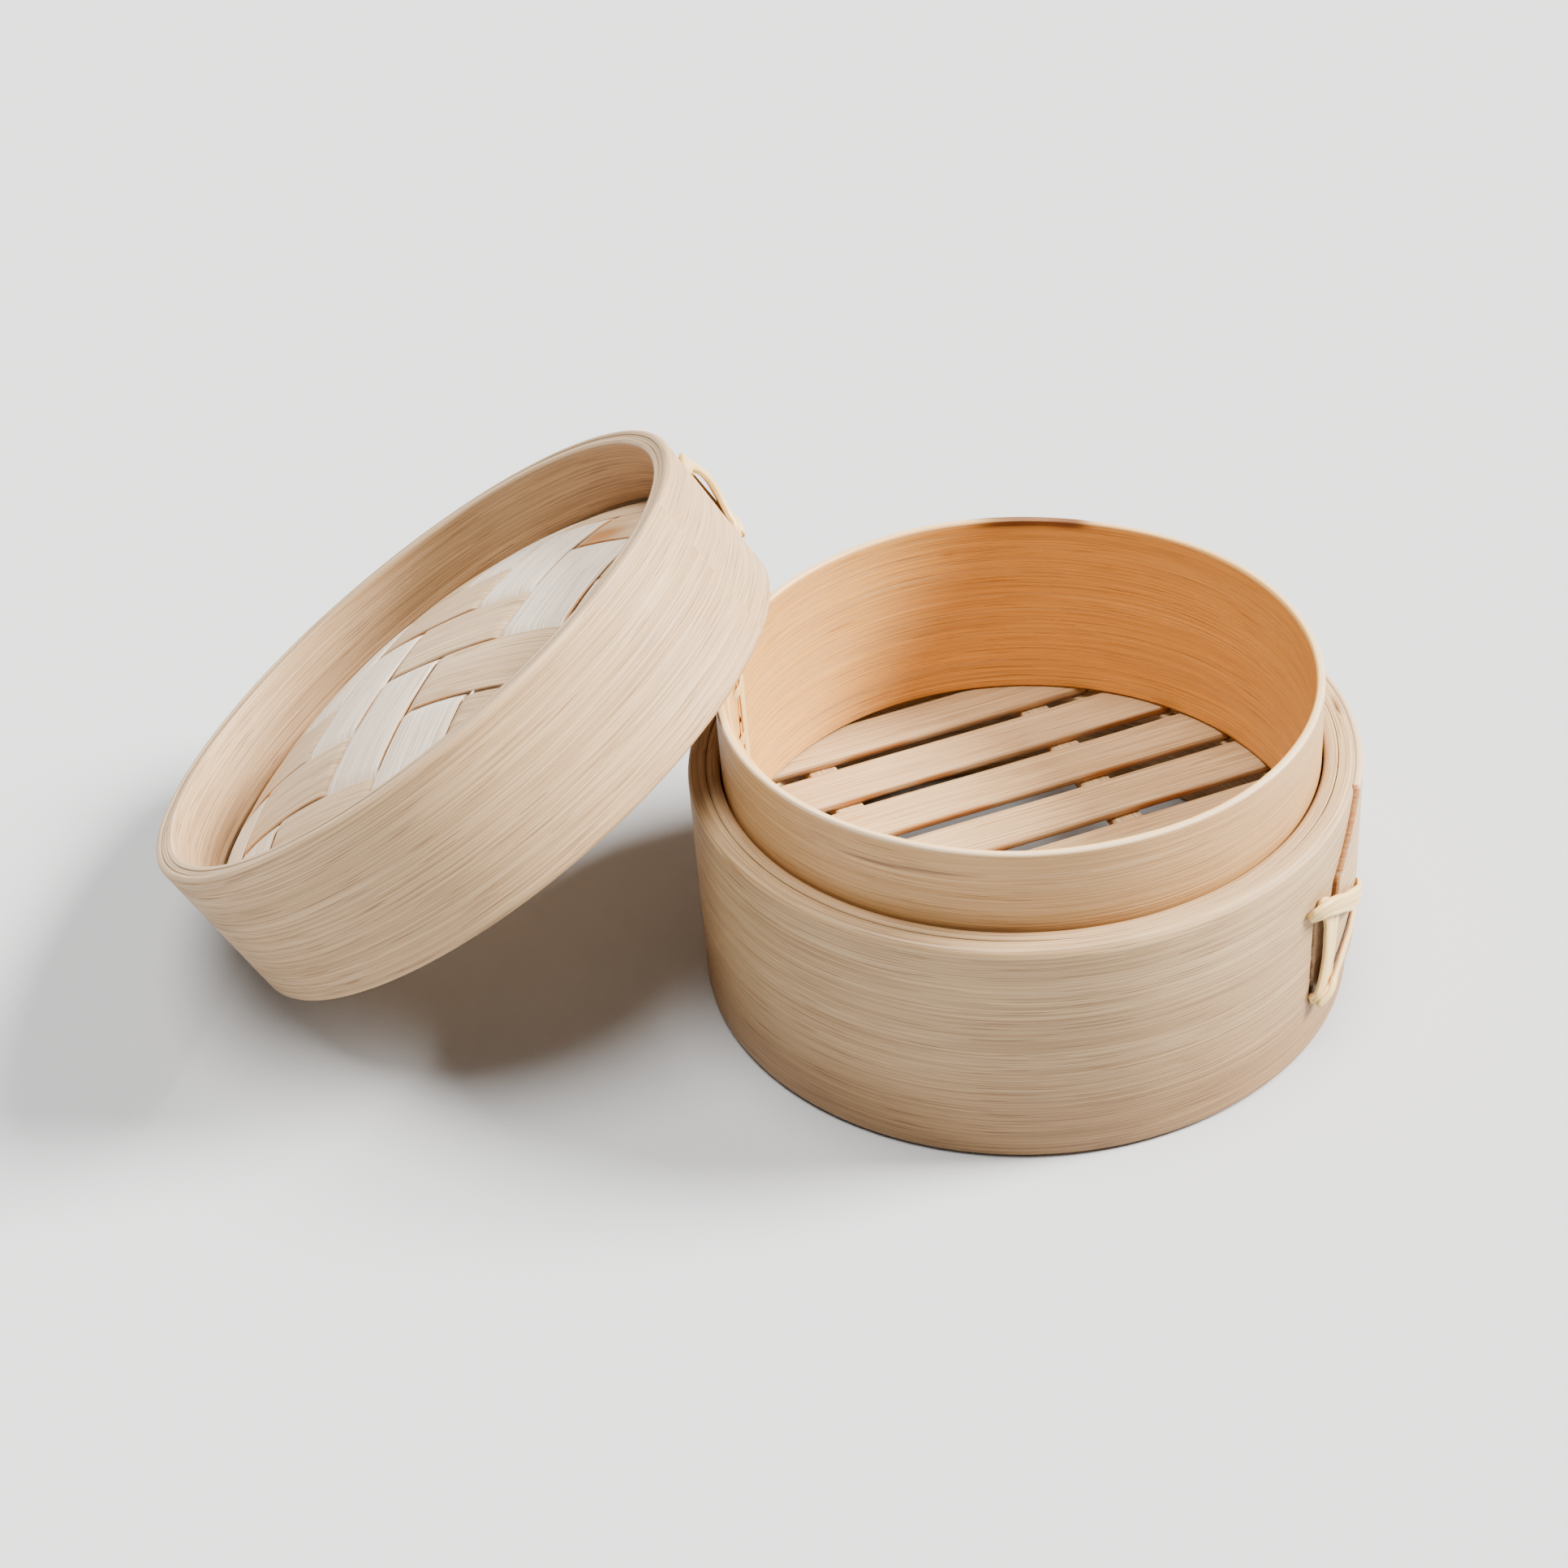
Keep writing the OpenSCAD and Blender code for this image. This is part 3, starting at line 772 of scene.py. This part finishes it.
def floor_pieces():
    """The slats, the two crossbars under them and the base ring."""
    turned = Matrix.Rotation(math.radians(SLAT_TURN), 4, "Z")
    for k in range(1, SLAT_COUNT + 1):
        middle = (k - (SLAT_COUNT + 1) / 2) * SLAT_PITCH
        piece = crossing_strip(f"slat_{k}", middle, SLAT_W, SLAT_REACH_R, slat_surface(60 + k), SLAT_T,
                               True, FLOOR, turned, 60 + k)
        finish_piece(piece, "basket", "floor_bamboo", f"floor_slat_{k}")
    for k, side in ((1, -1), (2, 1)):
        piece = crossing_strip(f"bar_{k}", side * CROSSBAR_OFFSET, BAR_W, BAR_REACH_R, bar_surface, BAR_T,
                               False, FLOOR, turned, 70 + k)
        finish_piece(piece, "basket", "floor_bamboo", f"crossbar_{k}")
    section = band_section(COLLAR_IN_R, RECESS_R + 0.5, BASE_RING_LOW, SLAT_LOW - 0.02,
                           EDGE_ROUND, EDGE_ROUND)
    ring = band("floor_ring", section, FLOOR, BASKET_PLACE, 75, wobble=0.03, rim_wave=0)
    finish_piece(ring, "basket", "floor_bamboo", "base_ring")


# ---------------------------------------------------------------- the lid
def lid_paint_shares(low_rim, high_rim, tied):
    """The paint of one of the lid's rings: amber stains, painted shade on the bore's wall and painted
    shade in the tie's holes. tied is whether the tie's holes are in it.
    """
    def paint(angle, radius, height):
        rim = smooth(high_rim - 0.6, high_rim, height)
        inside = 1 - smooth(LID_BORE_R + 0.1, LID_BORE_R + 0.5, radius)
        # Painted shade on the bore's wall, deepest on the lid's high side.
        shaded = 0.08 + 0.4 * smooth(50, 160, np.abs(angle))
        outer_face = tied * smooth(LID_R - 0.4, LID_R - 0.1, radius)
        return {
            "pale": 0.2 * rim,
            "amber": 0.1 * bump(low_rim, 6, height) + shaded * inside * (1 - rim),
            "char": outer_face * tie_holes(LID_TIE_TURN, LID_TIE_LOW, LID_TIE_TALL, angle, height),
        }

    return paint


def lid_hoop():
    """The lid's four rings: two plies wound one on the other, and a ring above and below the weave."""
    middle_r = (WEAVE_R + LID_PLY_GAP, LID_MIDDLE_R - LID_PLY_GAP)
    ring_r = (LID_BORE_R, WEAVE_R - LID_PLY_GAP)
    upper_low, lower_top = WEAVE_EDGE_H + 1.7, WEAVE_EDGE_H - 1.1
    # Name, node, inner and outer radius, foot, top, edge radii inside and outside, wave of the rim.
    plies = [
        ("lid_outer", "lid_outer_ply", LID_MIDDLE_R + LID_PLY_GAP, LID_R, 0, LID_H, 0.14, 0.7, 0.07),
        ("lid_middle", "lid_middle_ply", *middle_r, 0, LID_H - 0.12, 0.14, 0.14, 0.12),
        ("lid_upper", "lid_upper_ring", *ring_r, upper_low, LID_H - 0.05, 0.42, 0.14, 0.12),
        ("lid_lower", "lid_lower_ring", *ring_r, 0, lower_top, 0.42, 0.14, 0.06),
    ]
    for k, (name, node, r_in, r_out, z_low, z_high, round_in, round_out, rim_wave) in enumerate(plies):
        tied = name == "lid_outer"
        fine_at = [(LID_TIE_TURN + 7, 14)] if tied else ()
        section = band_section(r_in, r_out, z_low, z_high, round_in, round_out, 0.8)
        piece = band(name, section, LID, LID_PLACE, 80 + 3 * k, wobble=0.03, rim_wave=rim_wave,
                     paint=lid_paint_shares(z_low, z_high, tied), fine_at=fine_at)
        finish_piece(piece, "lid", "lid_bamboo", node)


def dome(x, y):
    """The height of the woven top's middle surface."""
    return WEAVE_EDGE_H + WEAVE_RISE * (1 - (np.hypot(x, y) / WEAVE_R) ** DOME_SHAPE)


def warp_over(warp, weft):
    """+1 where the warp strip passes over the weft strip, -1 under: over two, under two."""
    return 1 if (warp + weft + 2) % 4 < 2 else -1


def lift(along, centres, sides):
    """How far a strip stands off the dome: smooth steps half way between the strips that it crosses."""
    value = np.full_like(along, float(sides[0]))
    for k in range(1, len(centres)):
        between = (centres[k - 1] + centres[k]) / 2
        value = value + (sides[k] - sides[k - 1]) * smooth(between - RAMP_HALF, between + RAMP_HALF, along)
    return value * CROSSING


def woven_surface(centres, sides):
    """The middle surface of a strip on the dome that passes the strips at the given centres."""
    def height(x, y, along):
        return dome(x, y) + lift(along, centres, sides)

    return height


def amber_patch(x, y):
    """The amber patch on the second tan strip, near the lid's high end."""
    return {"amber": 0.9 * bump(-23, 7, x) * (0.3 + 0.7 * bump(-25.5, 4, y))}


def weave():
    """The domed top, woven over two and under two, its warps in the finish with a painted sheen. The
    strips past its edge only give the spacing.
    """
    turned = LID_PLACE @ Matrix.Rotation(math.radians(WEAVE_TURN), 4, "Z")
    warps = {k: (k - WARP_MIDDLE) * STRIP_PITCH for k in range(0, WARP_COUNT + 2)}
    wefts = {k: (k - WEFT_MIDDLE) * STRIP_PITCH + WEFT_SHIFT for k in range(0, WEFT_COUNT + 2)}
    for warp in range(1, WARP_COUNT + 1):
        surface = woven_surface(list(wefts.values()), [warp_over(warp, weft) for weft in wefts])
        piece = crossing_strip(f"warp_{warp}", warps[warp], STRIP_W, WEAVE_R - 0.1, surface, STRIP_T,
                               False, WEAVE_WITH_PAINTED_SHEEN, turned, 100 + warp)
        finish_piece(piece, "lid", "weave_pale", f"lid_warp_{warp}")
    for weft in range(1, WEFT_COUNT + 1):
        surface = woven_surface(list(warps.values()), [-warp_over(warp, weft) for warp in warps])
        piece = crossing_strip(f"weft_{weft}", wefts[weft], STRIP_W, WEAVE_R - 0.1, surface, STRIP_T,
                               True, TAN, turned, 120 + weft, amber_patch if weft == 2 else None)
        finish_piece(piece, "lid", "weave_tan", f"lid_weft_{weft}")


# ---------------------------------------------------------------- room, lights and camera
def plain_material(name, colour):
    """A matt finish of one colour."""
    material = bpy.data.materials.new(name)
    material.use_nodes = True
    surface = material.node_tree.nodes["Principled BSDF"]
    surface.inputs["Base Color"].default_value = (*colour, 1)
    surface.inputs["Roughness"].default_value = 0.9
    return material


def stage():
    """The light grey table that the basket stands on."""
    bpy.ops.mesh.primitive_plane_add(size=12, location=(0, 0, 0))
    table = bpy.context.object
    table.name = "table"
    table.data.materials.append(plain_material("table", (0.47, 0.47, 0.47)))


def far_light(name, place, spread, strength, colour=(1, 1, 1)):
    """A soft light from far off, in the direction of place, that lights the whole floor evenly."""
    data = bpy.data.lights.new(name, "SUN")
    data.angle = math.radians(spread)
    data.energy = strength
    data.color = colour
    light = bpy.data.objects.new(name, data)
    bpy.context.scene.collection.objects.link(light)
    light.rotation_euler = (-Vector(place)).to_track_quat("-Z", "Y").to_euler()


def lights():
    """A bright key from the right and a little behind, a soft light from above and a low fill."""
    world = bpy.data.worlds.new("studio")
    bpy.context.scene.world = world
    world.use_nodes = True
    world.node_tree.nodes["Background"].inputs["Color"].default_value = (1.0, 0.985, 0.97, 1)
    world.node_tree.nodes["Background"].inputs["Strength"].default_value = 0.22
    far_light("key", (0.75, 0.16, 0.57), 21, 17.5, (1, 0.985, 0.96))
    far_light("top", (-0.07, -0.04, 0.87), 36, 5.4)


def camera():
    """The photograph's view: from in front and above, turned a little left and rolled."""
    pitch, yaw, roll = math.radians(35.72), math.radians(-5.95), math.radians(-4.71)
    data = bpy.data.cameras.new("camera")
    data.sensor_fit = "HORIZONTAL"
    data.angle = math.radians(31.41)
    data.clip_start = 0.01
    view = bpy.data.objects.new("camera", data)
    bpy.context.scene.collection.objects.link(view)
    forward = Vector((math.sin(yaw) * math.cos(pitch), math.cos(yaw) * math.cos(pitch), -math.sin(pitch)))
    level = Vector((math.cos(yaw), -math.sin(yaw), 0))
    upright = level.cross(forward)
    right = math.cos(roll) * level + math.sin(roll) * upright
    up = -math.sin(roll) * level + math.cos(roll) * upright
    place = Matrix((right, up, -forward)).transposed().to_4x4()
    place.translation = Vector((0, -344.0 * MM, 279.9 * MM))
    view.matrix_world = place
    bpy.context.scene.camera = view


def build():
    """Makes the basket, the lid, the table, the lights and the camera, in this order."""
    outer_ply()
    tongue()
    inner_ply()
    collar()
    collar_lap()
    wall_tie("hoop_tie", TIE_TURN, HOOP_R + LAP, HOOP_TIE_LOW, TIE_TALL, 0, 1.0, "basket", BASKET_PLACE,
             ("hoop_tie",))
    stitches()
    floor_pieces()
    lid_hoop()
    wall_tie("lid_tie", LID_TIE_TURN, LID_R, LID_TIE_LOW, LID_TIE_TALL, 1.2, 0.6, "lid", LID_PLACE,
             ("lid_tie",))
    weave()
    stage()
    lights()
    camera()


build()
